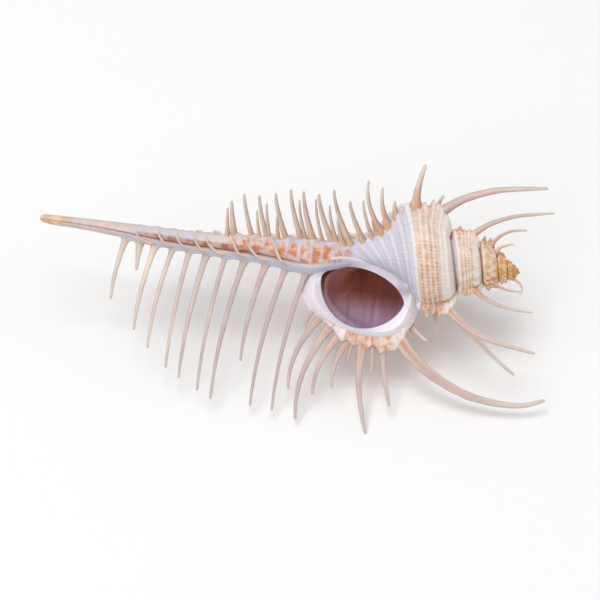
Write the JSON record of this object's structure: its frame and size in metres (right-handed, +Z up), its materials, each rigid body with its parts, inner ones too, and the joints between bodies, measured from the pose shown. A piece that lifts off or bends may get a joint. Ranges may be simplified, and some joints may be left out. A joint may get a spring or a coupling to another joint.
{
  "type": "venus comb murex shell",
  "caption": "Venus comb murex shell lying on its long spines, with the aperture up and the siphonal canal to one side.",
  "frame": {"origin": "centre of the shell's box, on the surface that it lies on", "axes": "+X towards the apex along the coiling axis, which dips 3 degrees towards the apex; +Z up; the aperture faces up and towards -Y, where the outer lip's comb is"},
  "size_m": [0.1382, 0.0684, 0.0515],
  "materials": {
    "shell": "satin"
  },
  "bodies": {
    "root": {"shell": "shell"}
  },
  "joints": []
}
